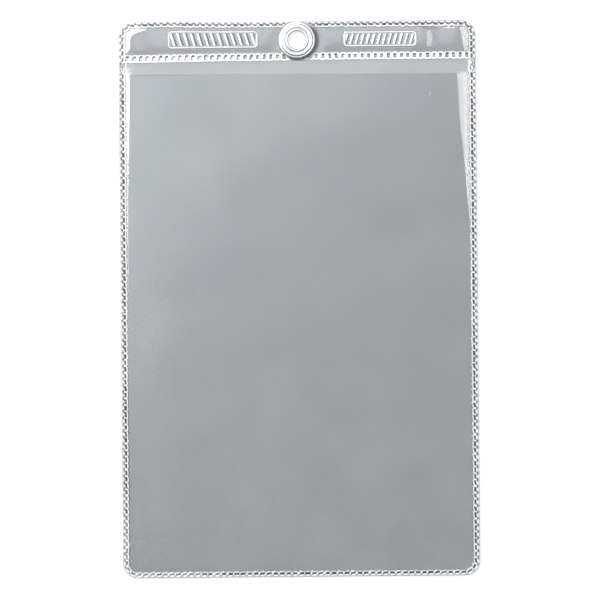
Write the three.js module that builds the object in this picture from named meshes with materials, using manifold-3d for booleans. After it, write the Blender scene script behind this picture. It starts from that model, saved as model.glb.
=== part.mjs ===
import * as THREE from 'three';
import { mergeGeometries, mergeVertices } from 'three/addons/utils/BufferGeometryUtils.js';
import Module from 'manifold-3d';

// A clear vinyl tag envelope, lying on its back. Millimetres.
// +X is to the right, +Y towards the grommet, +Z out of the front.
// The origin is on the surface that it lies on, under the middle of its outline.

// Outline of the envelope
const WIDTH = 114.3;
const HEIGHT = 177.8;
const CORNER_RADIUS = 4.76;

// Films
const BACK_FILM = 0.3;
const POCKET_FILM = 0.3;
const HEADER_FILM = 0.3;

// The header strip's depth below the top edge, and the single film left open above the pocket's mouth
const HEADER_DEPTH = 12.7;
const MOUTH_GAP = 3.8;

// Welds, from the edge of the film to the line where the films part
const SIDE_WELD = 2.2;
const BOTTOM_WELD = 2.0;
const TOP_WELD = 1.7;
const CROSS_WELD = 2.4;

// Stitch pattern of the sealing bar: a row of pressed pits between two raised beads
const STITCH_PITCH = 2.075;
const STITCH_BAR = 0.75;
const STITCH_WIDTH = 0.65;
const STITCH_INSET = 1.07;
const CROSS_STITCH_BAR = 1.05;
const CROSS_STITCH_WIDTH = 1.4;
const PIT_FLOOR = 0.1;
const PIT_DRAFT = 0.12;
const BEAD_LAND = 0.08;
const OUTER_BEAD = 0.3;
const INNER_BEAD = 0.45;
const BEAD_HEIGHT = 0.1;

// How far the front film stands off the back film, and how far from a weld it takes to get there
const MOUTH_RISE = 1.2;
const FOOT_RISE = 0.6;
const POCKET_SHOULDER = 8;
const HEADER_RISE = 0.8;
const HEADER_SHOULDER = 5;

// Set grommet, a little above the middle of the header strip: a flanged barrel from the back, curled
// over a dished washer at the front
const GROMMET_LIFT = 0.35;
const HOLE_DIAMETER = 5.8;
const FLANGE_WIDTH = 3.0;
const BARREL_METAL = 0.3;
const WASHER_METAL = 0.3;
const BEND_INSIDE = 0.3;
const RIM_LIP = 0.1;
const WASHER_DISH = 0.2;
const CURL_INSIDE = 0.1;
const CURL_LAND = 0.15;
const WASHER_CLEARANCE = 0.1;
const PUNCH_CLEARANCE = 0.15;
const SEAT_MARGIN = 1.7;

// Facets
const CORNER_STEPS = 5;
const ROUND_STEPS = 48;
const ARC_STEPS = 4;

// Heights of the faces that meet
const flangeHeight = BARREL_METAL + BEND_INSIDE + RIM_LIP;
const weldFace = flangeHeight + BACK_FILM;
const headerFace = weldFace + HEADER_FILM;
const washerHeight = WASHER_METAL + BEND_INSIDE + RIM_LIP;
const curlSeat = headerFace + washerHeight - WASHER_DISH;

// Places along the envelope
const right = WIDTH / 2;
const top = HEIGHT / 2;
const bottom = -HEIGHT / 2;
const headerEdge = top - HEADER_DEPTH;
const mouthEdge = headerEdge - MOUTH_GAP;
const crossSeam = headerEdge + CROSS_WELD;
const grommetY = top - HEADER_DEPTH / 2 + GROMMET_LIFT;

// Radii of the grommet
const barrelInner = HOLE_DIAMETER / 2;
const barrelOuter = barrelInner + BARREL_METAL;
const flangeRadius = barrelInner + FLANGE_WIDTH;
const curlRadius = BARREL_METAL + CURL_INSIDE;
const curlCentre = barrelOuter + CURL_INSIDE;
const punchRadius = barrelOuter + PUNCH_CLEARANCE;

// Cutters reach this far past what they cut
const OVERCUT = 1;

const wasm = await Module();
wasm.setup();

// A closed geometry as a solid that can be joined and cut
function toSolid(geometry) {
  const bare = geometry.clone();
  bare.deleteAttribute('normal');
  bare.deleteAttribute('uv');
  const merged = mergeVertices(bare, 1e-5);
  return new wasm.Manifold(new wasm.Mesh({
    numProp: 3,
    vertProperties: new Float32Array(merged.attributes.position.array),
    triVerts: new Uint32Array(merged.index.array),
  }));
}

// A solid back as a geometry
function toGeometry(solid) {
  const mesh = solid.getMesh();
  const geometry = new THREE.BufferGeometry();
  geometry.setAttribute('position', new THREE.BufferAttribute(mesh.vertProperties, 3));
  geometry.setIndex(new THREE.BufferAttribute(mesh.triVerts, 1));
  const faceted = geometry.toNonIndexed();
  faceted.computeVertexNormals();
  return faceted;
}

// Outline of a film between two heights, inset from the envelope's outline, with the
// envelope's corners where it reaches the top or the bottom edge
function filmShape(low, high, inset = 0) {
  const radius = Math.max(CORNER_RADIUS - inset, 0.05);
  const x = right - inset;
  const shape = new THREE.Shape();
  if (low === bottom) {
    const y = bottom + inset;
    shape.absarc(-x + radius, y + radius, radius, Math.PI, 1.5 * Math.PI, false);
    shape.absarc(x - radius, y + radius, radius, 1.5 * Math.PI, 2 * Math.PI, false);
  } else {
    shape.moveTo(-x, low);
    shape.lineTo(x, low);
  }
  if (high === top) {
    const y = top - inset;
    shape.absarc(x - radius, y - radius, radius, 0, 0.5 * Math.PI, false);
    shape.absarc(-x + radius, y - radius, radius, 0.5 * Math.PI, Math.PI, false);
  } else {
    shape.lineTo(x, high);
    shape.lineTo(-x, high);
  }
  shape.closePath();
  return shape;
}

// Circle about the grommet, with the same corners as the turned metal
function roundPath(radius) {
  const points = [];
  for (let i = 0; i < ROUND_STEPS; i += 1) {
    const angle = (2 * Math.PI * i) / ROUND_STEPS;
    points.push(new THREE.Vector2(radius * Math.sin(angle), grommetY - radius * Math.cos(angle)));
  }
  return points;
}

// A flat shape made solid between two heights
function slab(shape, low, high) {
  const geometry = new THREE.ExtrudeGeometry(shape, {
    depth: high - low,
    bevelEnabled: false,
    curveSegments: CORNER_STEPS,
  });
  geometry.translate(0, 0, low);
  return geometry;
}

// Round cutter about the grommet
function roundCutter(radius, low, high) {
  return toSolid(slab(new THREE.Shape(roundPath(radius)), low, high));
}

// Quarter-sine shoulder: leaves a weld at an angle and runs out level
function shoulder(distance, width) {
  return Math.sin(0.5 * Math.PI * THREE.MathUtils.clamp(distance / width, 0, 1));
}

// Even steps between two numbers, without the last
function steps(from, to, count) {
  const list = [];
  for (let i = 0; i < count; i += 1) list.push(from + ((to - from) * i) / count);
  return list;
}

// A film of even thickness that rises off the weld face over a grid of lines
function drapedFilm(xs, ys, rise, thickness) {
  const nx = xs.length;
  const ny = ys.length;
  const positions = [];
  for (const layer of [0, thickness]) {
    for (const y of ys) {
      for (const x of xs) positions.push(x, y, weldFace + rise(x, y) + layer);
    }
  }
  const at = (i, j, layer) => layer * nx * ny + j * nx + i;
  const index = [];
  const quad = (a, b, c, d) => index.push(a, b, c, a, c, d);
  for (let j = 0; j < ny - 1; j += 1) {
    for (let i = 0; i < nx - 1; i += 1) {
      quad(at(i, j, 1), at(i + 1, j, 1), at(i + 1, j + 1, 1), at(i, j + 1, 1));
      quad(at(i, j, 0), at(i, j + 1, 0), at(i + 1, j + 1, 0), at(i + 1, j, 0));
    }
  }
  for (let i = 0; i < nx - 1; i += 1) {
    quad(at(i, 0, 0), at(i + 1, 0, 0), at(i + 1, 0, 1), at(i, 0, 1));
    quad(at(i, ny - 1, 1), at(i + 1, ny - 1, 1), at(i + 1, ny - 1, 0), at(i, ny - 1, 0));
  }
  for (let j = 0; j < ny - 1; j += 1) {
    quad(at(0, j, 1), at(0, j + 1, 1), at(0, j + 1, 0), at(0, j, 0));
    quad(at(nx - 1, j, 0), at(nx - 1, j + 1, 0), at(nx - 1, j + 1, 1), at(nx - 1, j, 1));
  }
  const geometry = new THREE.BufferGeometry();
  geometry.setAttribute('position', new THREE.Float32BufferAttribute(positions, 3));
  geometry.setIndex(index);
  return geometry;
}

// A raised bead on a film's face: flat-topped, with sloping sides
function bead(shape, face) {
  const slope = 0.3 * OUTER_BEAD;
  const geometry = new THREE.ExtrudeGeometry(shape, {
    depth: BEAD_HEIGHT / 2,
    bevelEnabled: true,
    bevelThickness: BEAD_HEIGHT,
    bevelSize: slope,
    bevelOffset: -slope,
    bevelSegments: 1,
    curveSegments: CORNER_STEPS,
  });
  geometry.translate(0, 0, face - BEAD_HEIGHT / 2);
  return toSolid(geometry);
}

// The two beads that run round the envelope beside the row of stitches
function borderBeads(face) {
  const outer = STITCH_INSET - STITCH_WIDTH / 2 - BEAD_LAND;
  const inner = STITCH_INSET + STITCH_WIDTH / 2 + BEAD_LAND;
  const bands = [[outer - OUTER_BEAD, outer], [inner, inner + INNER_BEAD]];
  return bands.map(([from, to]) => {
    const band = filmShape(bottom, top, from);
    band.holes.push(filmShape(bottom, top, to));
    return bead(band, face);
  });
}

// Row of stitches along one film's share of the border, as a path from left to right
function borderRow(end, side) {
  const radius = Math.max(CORNER_RADIUS - STITCH_INSET, 0.05);
  const x = right - STITCH_INSET;
  const y = side > 0 ? top - STITCH_INSET : bottom + STITCH_INSET;
  const row = new THREE.Path();
  row.moveTo(-x, end);
  row.lineTo(-x, y - side * radius);
  row.absarc(-x + radius, y - side * radius, radius, Math.PI, side * 0.5 * Math.PI, side > 0);
  row.lineTo(x - radius, y);
  row.absarc(x - radius, y - side * radius, radius, side * 0.5 * Math.PI, 0, side > 0);
  row.lineTo(x, end);
  return row;
}

// A straight row of stitches
function straightRow(from, to, y) {
  const row = new THREE.Path();
  row.moveTo(from, y);
  row.lineTo(to, y);
  return row;
}

// Cutters for the pits of a row, evenly spaced, narrowing to the floor and left out under the flange
function pitCutters(row, bar, width, face, film) {
  const length = row.getLength();
  const count = Math.max(1, Math.round(length / STITCH_PITCH));
  const pit = length / count - bar;
  const depth = film - PIT_FLOOR;
  const height = depth + BEAD_HEIGHT + OVERCUT;
  const spread = (PIT_DRAFT * height) / depth;
  const cutters = [];
  for (let i = 0; i < count; i += 1) {
    const share = (i + 0.5) / count;
    const point = row.getPoint(share);
    const tangent = row.getTangent(share);
    const reach = Math.hypot(point.x, point.y - grommetY) - Math.hypot(pit, width) / 2;
    if (reach < flangeRadius + BEAD_LAND) continue;
    const cutter = new THREE.BoxGeometry(pit, width, height);
    const corners = cutter.attributes.position;
    for (let k = 0; k < corners.count; k += 1) {
      const grow = corners.getZ(k) > 0 ? spread - PIT_DRAFT : -PIT_DRAFT;
      corners.setX(k, corners.getX(k) + Math.sign(corners.getX(k)) * grow);
      corners.setY(k, corners.getY(k) + Math.sign(corners.getY(k)) * grow);
    }
    cutter.rotateZ(Math.atan2(tangent.y, tangent.x));
    cutter.translate(point.x, point.y, face - depth + height / 2);
    cutters.push(cutter);
  }
  return cutters;
}

// The films

// Back film: flat, with the punched hole
const backShape = filmShape(bottom, top);
backShape.holes.push(new THREE.Path(roundPath(punchRadius)));
const backGeometry = slab(backShape, flangeHeight, weldFace);

// Pocket film: welded down both sides and along the foot, standing off in between and most at its mouth
function pocketRise(x, y) {
  const along = THREE.MathUtils.clamp((y - bottom) / (mouthEdge - bottom), 0, 1);
  const rise = FOOT_RISE + (MOUTH_RISE - FOOT_RISE) * along;
  const fromSide = right - SIDE_WELD - Math.abs(x);
  const fromFoot = y - bottom - BOTTOM_WELD;
  return rise * shoulder(fromSide, POCKET_SHOULDER) * shoulder(fromFoot, POCKET_SHOULDER);
}

function pocketFilm() {
  const weldX = right - SIDE_WELD;
  const innerX = weldX - POCKET_SHOULDER;
  const rightXs = [...steps(0, innerX, 3), ...steps(innerX, weldX, 6), weldX, right + OVERCUT];
  const xs = [...rightXs.slice(1).map((x) => -x).reverse(), ...rightXs];
  const foot = bottom + BOTTOM_WELD;
  const innerY = foot + POCKET_SHOULDER;
  const ys = [
    bottom - OVERCUT,
    ...steps(foot, innerY, 6),
    ...steps(innerY, mouthEdge + OVERCUT, 10),
    mouthEdge + OVERCUT,
  ];
  const face = weldFace + POCKET_FILM;
  const film = toSolid(drapedFilm(xs, ys, pocketRise, POCKET_FILM));
  const blank = toSolid(slab(filmShape(bottom, mouthEdge), 0, face + MOUTH_RISE + OVERCUT));
  const row = borderRow(mouthEdge, -1);
  const pits = pitCutters(row, STITCH_BAR, STITCH_WIDTH, face, POCKET_FILM);
  return borderBeads(face)
    .reduce((joined, each) => joined.add(each), film)
    .intersect(blank)
    .subtract(toSolid(mergeGeometries(pits)));
}

// Header strip: welded all round, with air between the films on either side of the grommet
function headerRise(x, y) {
  const across = THREE.MathUtils.clamp((y - crossSeam) / (top - TOP_WELD - crossSeam), 0, 1);
  const fromSide = right - SIDE_WELD - Math.abs(x);
  const fromSeat = Math.hypot(x, y - grommetY) - flangeRadius - SEAT_MARGIN;
  return HEADER_RISE * Math.sin(Math.PI * across)
    * shoulder(fromSide, HEADER_SHOULDER) * shoulder(fromSeat, HEADER_SHOULDER);
}

function headerFilm() {
  const weldX = right - SIDE_WELD;
  const innerX = weldX - HEADER_SHOULDER;
  const seatX = flangeRadius + SEAT_MARGIN + HEADER_SHOULDER;
  const rightXs = [
    ...steps(0, seatX, 10),
    ...steps(seatX, innerX, 4),
    ...steps(innerX, weldX, 5),
    weldX,
    right + OVERCUT,
  ];
  const xs = [...rightXs.slice(1).map((x) => -x).reverse(), ...rightXs];
  const ys = [
    headerEdge - OVERCUT,
    ...steps(crossSeam, top - TOP_WELD, 7),
    top - TOP_WELD,
    top + OVERCUT,
  ];
  const film = toSolid(drapedFilm(xs, ys, headerRise, HEADER_FILM));
  const blank = toSolid(slab(filmShape(headerEdge, top), 0, headerFace + HEADER_RISE + OVERCUT));

  const seamMiddle = headerEdge + CROSS_WELD / 2;
  const innerBead = STITCH_INSET + STITCH_WIDTH / 2 + BEAD_LAND + INNER_BEAD;
  const railEnd = right - innerBead + INNER_BEAD / 2;
  const railFrom = CROSS_STITCH_WIDTH / 2 + BEAD_LAND;
  const rails = [-1, 1].map((side) => {
    const ends = [seamMiddle + side * railFrom, seamMiddle + side * (railFrom + OUTER_BEAD)];
    const rail = new THREE.Shape();
    rail.moveTo(-railEnd, Math.min(...ends));
    rail.lineTo(railEnd, Math.min(...ends));
    rail.lineTo(railEnd, Math.max(...ends));
    rail.lineTo(-railEnd, Math.max(...ends));
    rail.closePath();
    return bead(rail, headerFace);
  });
  const seat = roundCutter(flangeRadius + BEAD_LAND, headerFace, headerFace + OVERCUT);
  const beads = [...borderBeads(headerFace), ...rails].map((each) => each.subtract(seat));

  const rowEnd = right - innerBead - BEAD_LAND;
  const row = straightRow(-rowEnd, rowEnd, seamMiddle);
  const pits = [
    ...pitCutters(borderRow(headerEdge, 1), STITCH_BAR, STITCH_WIDTH, headerFace, HEADER_FILM),
    ...pitCutters(row, CROSS_STITCH_BAR, CROSS_STITCH_WIDTH, headerFace, HEADER_FILM),
  ];
  const punch = roundCutter(punchRadius, 0, headerFace + HEADER_RISE + OVERCUT);
  return beads
    .reduce((joined, each) => joined.add(each), film)
    .intersect(blank)
    .subtract(toSolid(mergeGeometries(pits)))
    .subtract(punch);
}

// The grommet

// Points of an arc in a profile, from one angle to another, in degrees
function arc(r, z, radius, from, to) {
  const points = [];
  for (let i = 0; i <= ARC_STEPS; i += 1) {
    const angle = THREE.MathUtils.degToRad(from + ((to - from) * i) / ARC_STEPS);
    points.push(new THREE.Vector2(r + radius * Math.cos(angle), z + radius * Math.sin(angle)));
  }
  return points;
}

// A closed profile, listed clockwise, turned about the grommet's axis
function turned(profile) {
  const geometry = new THREE.LatheGeometry([profile[0], ...profile.toReversed()], ROUND_STEPS);
  geometry.rotateX(Math.PI / 2);
  geometry.translate(0, grommetY, 0);
  return geometry;
}

// Barrel: a flange whose rim bites the back film, a wall through the films and a curl over the washer
function barrelGeometry() {
  const outside = BARREL_METAL + BEND_INSIDE;
  const heel = barrelOuter + BEND_INSIDE;
  const toe = flangeRadius - outside;
  return turned([
    ...arc(heel, outside, outside, 270, 180),
    ...arc(curlCentre, curlSeat, curlRadius, 180, 90),
    ...arc(curlCentre, curlSeat, curlRadius, 90, 0).slice(1),
    ...arc(curlCentre, curlSeat, CURL_INSIDE, 0, 180),
    ...arc(heel, outside, BEND_INSIDE, 180, 270),
    ...arc(toe, outside, BEND_INSIDE, 270, 360),
    new THREE.Vector2(flangeRadius - BARREL_METAL, flangeHeight),
    new THREE.Vector2(flangeRadius, flangeHeight),
    ...arc(toe, outside, outside, 360, 270),
  ]);
}

// Washer: a rim that bites the header strip, a crown and a dished land under the curl
function washerGeometry() {
  const outside = WASHER_METAL + BEND_INSIDE;
  const toe = flangeRadius - outside;
  const hole = barrelOuter + WASHER_CLEARANCE;
  const landEnd = curlCentre + curlRadius + CURL_LAND;
  const crown = headerFace + washerHeight;
  const crownStart = landEnd + 2 * WASHER_DISH;
  return turned([
    new THREE.Vector2(hole, curlSeat - WASHER_METAL),
    new THREE.Vector2(hole, curlSeat),
    new THREE.Vector2(landEnd, curlSeat),
    new THREE.Vector2(crownStart, crown),
    ...arc(toe, crown - outside, outside, 90, 0),
    new THREE.Vector2(flangeRadius, headerFace),
    new THREE.Vector2(flangeRadius - WASHER_METAL, headerFace),
    ...arc(toe, crown - outside, BEND_INSIDE, 0, 90),
    new THREE.Vector2(crownStart, crown - WASHER_METAL),
    new THREE.Vector2(landEnd, curlSeat - WASHER_METAL),
  ]);
}

// The assembly

const clearVinyl = new THREE.MeshStandardMaterial({
  color: 0xb4b9bc,
  roughness: 0.2,
  metalness: 0,
  transparent: true,
  opacity: 0.45,
});
const brightNickel = new THREE.MeshStandardMaterial({ color: 0xe6e7e8, roughness: 0.2, metalness: 1 });

const envelope = new THREE.Group();

function place(name, geometry, material) {
  const mesh = new THREE.Mesh(geometry, material.clone());
  mesh.name = name;
  envelope.add(mesh);
}

place('back_sheet', backGeometry, clearVinyl);
place('front_sheet', toGeometry(pocketFilm()), clearVinyl);
place('header_strip', toGeometry(headerFilm()), clearVinyl);
place('grommet', barrelGeometry(), brightNickel);
place('washer', washerGeometry(), brightNickel);

export default envelope;
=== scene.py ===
import math

import bpy
import numpy as np
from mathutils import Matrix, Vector
from mathutils.geometry import delaunay_2d_cdt


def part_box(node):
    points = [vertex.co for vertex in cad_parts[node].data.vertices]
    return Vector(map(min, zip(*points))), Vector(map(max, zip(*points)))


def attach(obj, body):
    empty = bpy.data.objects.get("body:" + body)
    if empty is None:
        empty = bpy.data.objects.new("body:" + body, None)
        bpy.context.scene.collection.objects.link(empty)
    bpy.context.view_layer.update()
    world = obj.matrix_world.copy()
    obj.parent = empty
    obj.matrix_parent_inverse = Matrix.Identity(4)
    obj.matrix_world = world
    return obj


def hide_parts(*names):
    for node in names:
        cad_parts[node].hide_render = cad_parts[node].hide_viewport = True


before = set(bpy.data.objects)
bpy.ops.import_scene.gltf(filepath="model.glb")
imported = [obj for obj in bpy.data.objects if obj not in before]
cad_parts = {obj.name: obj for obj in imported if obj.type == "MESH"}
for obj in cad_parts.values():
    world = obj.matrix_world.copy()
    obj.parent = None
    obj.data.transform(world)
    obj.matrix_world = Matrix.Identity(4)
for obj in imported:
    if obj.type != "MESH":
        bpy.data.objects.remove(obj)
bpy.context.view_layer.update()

MM = 0.001

# Sizes in millimetres, most of them from the CAD frame


def box_mm(node):
    """A node's lowest and highest corners in millimetres."""
    low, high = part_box(node)
    return np.array(low) / MM, np.array(high) / MM


BACK_LOW, BACK_HIGH = box_mm("back_sheet")
POCKET_HIGH = box_mm("front_sheet")[1]
HEADER_LOW = box_mm("header_strip")[0]
GROMMET_LOW, GROMMET_HIGH = box_mm("grommet")

RIGHT = float(BACK_HIGH[0])
TOP = float(BACK_HIGH[1])
BOTTOM = float(BACK_LOW[1])
MOUTH = float(POCKET_HIGH[1])
HEADER_EDGE = float(HEADER_LOW[1])
BACK_FACE = float(BACK_LOW[2])
WELD_FACE = float(BACK_HIGH[2])
FILM = 0.3
FILM_TOP = WELD_FACE + FILM
GROMMET_Y = float(GROMMET_LOW[1] + GROMMET_HIGH[1]) / 2
FLANGE_R = float(GROMMET_HIGH[0] - GROMMET_LOW[0]) / 2
PUNCH_R = 3.35
CORNER_R = 4.76

# The welds: their widths, how far the ladder's middle is over the cross weld's edge, the stitches' pitch, the
# stitch row's distance in from the edge, and the mesh rows to each stitch

SIDE_WELD = 2.2
BOTTOM_WELD = 2.0
TOP_WELD = 1.7
CROSS_WELD = 2.4
LADDER_IN = 1.39
HEADER_SIDE = 1.95
PITCH = 2.075
ROW = 1.08
ROW_SIDE = 0.2
PER_CELL = 12

rng = np.random.default_rng(7)


def smooth(x, low, high):
    """0 below low, 1 above high, and a smooth step between them."""
    t = np.clip((np.asarray(x, float) - low) / (high - low), 0, 1)
    return t * t * (3 - 2 * t)


def fade(x, low, high):
    """1 below low, 0 above high, and a smooth step between them."""
    return 1 - smooth(x, low, high)


def hump(x, half):
    """1 at 0, and less and less either way: about a third at half."""
    return np.exp(-((x / half) ** 2))


def highest(first, *others):
    for other in others:
        first = np.maximum(first, other)
    return first


# Stitches of the weld


def rounded_box(px, py, a, b, r):
    """Distance from a rounded box of half sizes a and b, negative inside."""
    qx, qy = np.abs(px) - (a - r), np.abs(py) - (b - r)
    outside = np.hypot(np.maximum(qx, 0), np.maximum(qy, 0))
    return outside + np.minimum(np.maximum(qx, qy), 0) - r


# How deep a pit is pressed, and how high the ring round it stands

PIT_DEEP = 0.2
RING_HIGH = 0.13


class Stitches:
    """A row of pressed pits with a raised ring round each: height, bead and pit at along and across. bead is
    the painted highlight on each ring, and pit both the pit's depth and the painted shade in it.
    """

    def __init__(self, length, half_long, half_wide, reach, corner=0.26, arched=0.0, slant=0.0, tilt=0.0):
        self.count = max(1, round(length / PITCH))
        self.pitch = length / self.count
        self.corner = corner
        self.arched = arched
        count = self.count
        order = np.arange(count)
        self.reach = np.full(count, reach)
        self.long = half_long * rng.uniform(0.82, 1.08, count)
        self.wide = half_wide * rng.uniform(0.8, 1.08, count)
        self.shift = rng.normal(0, 0.06, count)
        self.drop = rng.uniform(0.75, 1.15, count)
        self.white = rng.uniform(0.82, 1.04, count)
        self.skew = rng.normal(0, 0.12, count) + slant * fade(order, count * 0.2, count * 0.55)
        self.tilt = rng.normal(tilt, 0.6 * tilt, count)
        self.hooked = fade(order, count * 0.3, count * 0.5)

    def at(self, along, across):
        """across is measured from the middle of the row."""
        along, across = np.broadcast_arrays(np.asarray(along, float), np.asarray(across, float))
        bead, pit, ridge = np.zeros((3, *along.shape))
        nearest = np.floor(along / self.pitch).astype(int)
        for step in (-1, 0, 1):
            cell = nearest + step
            real = (cell >= 0) & (cell < self.count)
            k = np.clip(cell, 0, self.count - 1)
            px = along - (cell + 0.5) * self.pitch - self.shift[k] + self.skew[k] * across
            py = across - self.tilt[k] * px
            d = rounded_box(px, py, self.long[k], self.wide[k], self.corner)
            hollow = smooth(-d, -0.05, 0.13) * self.drop[k] * real
            # painted shade: a window is darkest under its top bar, and one of the hooked ones down its first
            # side as well, with the rest of that one painted pale
            inside = smooth(-d, 0.02, 0.2) * smooth(0.42 - across, 0, 0.3)
            hook = self.hooked[k] * smooth(px, -0.14, 0.12)
            shade = 1 - self.arched * inside * np.maximum(0.62, 1.15 * hook)
            # the raised ring round each pit is painted white as a highlight
            white = smooth(d, -0.03, 0.1) * fade(d - self.reach[k], 0, 0.2)
            white = white * self.white[k] * real
            if self.arched:
                white = np.maximum(white, inside * hook * real)
            bump = np.clip(1 - ((d - 0.25) / 0.27) ** 2, 0, 1) * real
            pit = np.maximum(pit, hollow * shade)
            bead = np.maximum(bead, white)
            ridge = np.maximum(ridge, bump)
        pit = np.clip(pit, 0, 1)
        bead = np.clip(bead * (1 - pit), 0, 1)
        return RING_HIGH * ridge * (1 - pit) - PIT_DEEP * pit, bead, pit


def edge_distance(x, y):
    """Distance in from the envelope's rounded outline."""
    return -rounded_box(x, y - (TOP + BOTTOM) / 2, RIGHT, (TOP - BOTTOM) / 2, CORNER_R)


class Border:
    """A U-shaped run along the envelope's edge, from end down one side, round two corners and back.
    along is measured on the stitch row, across is the distance in from the edge. side is -1 for the foot
    and 1 for the top."""

    def __init__(self, end, side):
        self.end, self.side = end, side
        self.far = TOP if side > 0 else BOTTOM
        self.leg = abs(self.far - end) - CORNER_R
        self.turn = (CORNER_R - ROW) * math.pi / 2
        self.span = 2 * (RIGHT - CORNER_R)
        self.length = 2 * self.leg + 2 * self.turn + self.span

    def row(self, along):
        """How far in from the edge the stitches run: a little further on the two sides."""
        from_end = np.minimum(along, self.length - along)
        return ROW + ROW_SIDE * fade(from_end, self.leg - 0.5, self.leg + self.turn)

    def on_span(self, along, before, after):
        """1 on the straight run between the two corners, fading out before and after each leg's end."""
        low, high = self.leg - before, self.leg + after
        return smooth(along, low, high) * smooth(self.length - along, low, high)

    def edge_line(self, along):
        """How dark the very edge looks: the film is cut hardest along the foot."""
        return 0.1 + (0.5 if self.side < 0 else 0.3) * self.on_span(along, 2, 4)

    def dots(self, along):
        """How dark the dots between the stitches are. Along the foot they hardly show."""
        return 0.95 - (0.5 if self.side < 0 else 0.0) * self.on_span(along, 2, 4)

    def dot_reach(self, along):
        """How far a dot reaches along the row. The dots down the pocket's left side are the longest."""
        if self.side > 0:
            return 0.5
        return 0.53 + 0.14 * fade(along, self.leg - 25, self.leg)

    def milk(self, along):
        """How much further in the milky strip reaches beside the film's bright bends at the upper left, where
        it paints the edge of their highlight white.
        """
        if self.side > 0:
            return 0.17 * fade(along, self.leg + self.turn, self.leg + self.turn + 8)
        return 0.17 * fade(along, 20, 55)

    def crease_shade(self, along):
        """How dark the painted shade in the crease inside the weld is. It fades out towards the pocket's
        mouth, where the film lifts off the weld."""
        if self.side > 0:
            return 0.3 * self.on_span(along, 0, 14)
        from_end = np.minimum(along, self.length - along)
        left = fade(along, self.leg, self.leg + 6)
        dark = (0.62 + 0.36 * left * smooth(from_end, 90, 120)) * smooth(from_end, 60, 110)
        return dark * (1 - 0.3 * smooth(from_end, self.leg, self.leg + 6))

    def point(self, along, across):
        """x and y: down or up the left leg, round a corner, along the span, round a corner and back."""
        along, across = np.broadcast_arrays(np.asarray(along, float), np.asarray(across, float))
        x, y = np.zeros(along.shape), np.zeros(along.shape)
        stops = np.cumsum([self.leg, self.turn, self.span, self.turn])
        radius = CORNER_R - across
        corner_y = self.far - self.side * CORNER_R
        on = along <= stops[0]
        x[on] = -RIGHT + across[on]
        y[on] = self.end + self.side * along[on]
        on = (along > stops[0]) & (along <= stops[1])
        angle = (along[on] - stops[0]) / (CORNER_R - ROW)
        x[on] = -RIGHT + CORNER_R - radius[on] * np.cos(angle)
        y[on] = corner_y + self.side * radius[on] * np.sin(angle)
        on = (along > stops[1]) & (along <= stops[2])
        x[on] = -RIGHT + CORNER_R + along[on] - stops[1]
        y[on] = self.far - self.side * across[on]
        on = (along > stops[2]) & (along <= stops[3])
        angle = (along[on] - stops[2]) / (CORNER_R - ROW)
        x[on] = RIGHT - CORNER_R + radius[on] * np.sin(angle)
        y[on] = corner_y + self.side * radius[on] * np.cos(angle)
        on = along > stops[3]
        x[on] = RIGHT - across[on]
        y[on] = self.far - self.side * (CORNER_R + along[on] - stops[3])
        return x, y


# Meshes


def in_scene(name, data):
    """A new object in the scene."""
    made = bpy.data.objects.new(name, data)
    bpy.context.collection.objects.link(made)
    return made


def smooth_piece(name, points, faces, sharp, values=()):
    """An object from points in millimetres, smooth up to bends of sharp degrees. values pairs a label with a
    number at each point."""
    mesh = bpy.data.meshes.new(name)
    mesh.from_pydata((points * MM).tolist(), [], faces)
    for label, numbers in values:
        layer = mesh.attributes.new(label, "FLOAT", "POINT")
        layer.data.foreach_set("value", np.concatenate(numbers).astype(np.float32))
    mesh.validate()
    mesh.polygons.foreach_set("use_smooth", [True] * len(mesh.polygons))
    mesh.set_sharp_from_angle(angle=math.radians(sharp))
    mesh.update()
    return in_scene(name, mesh)


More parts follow.
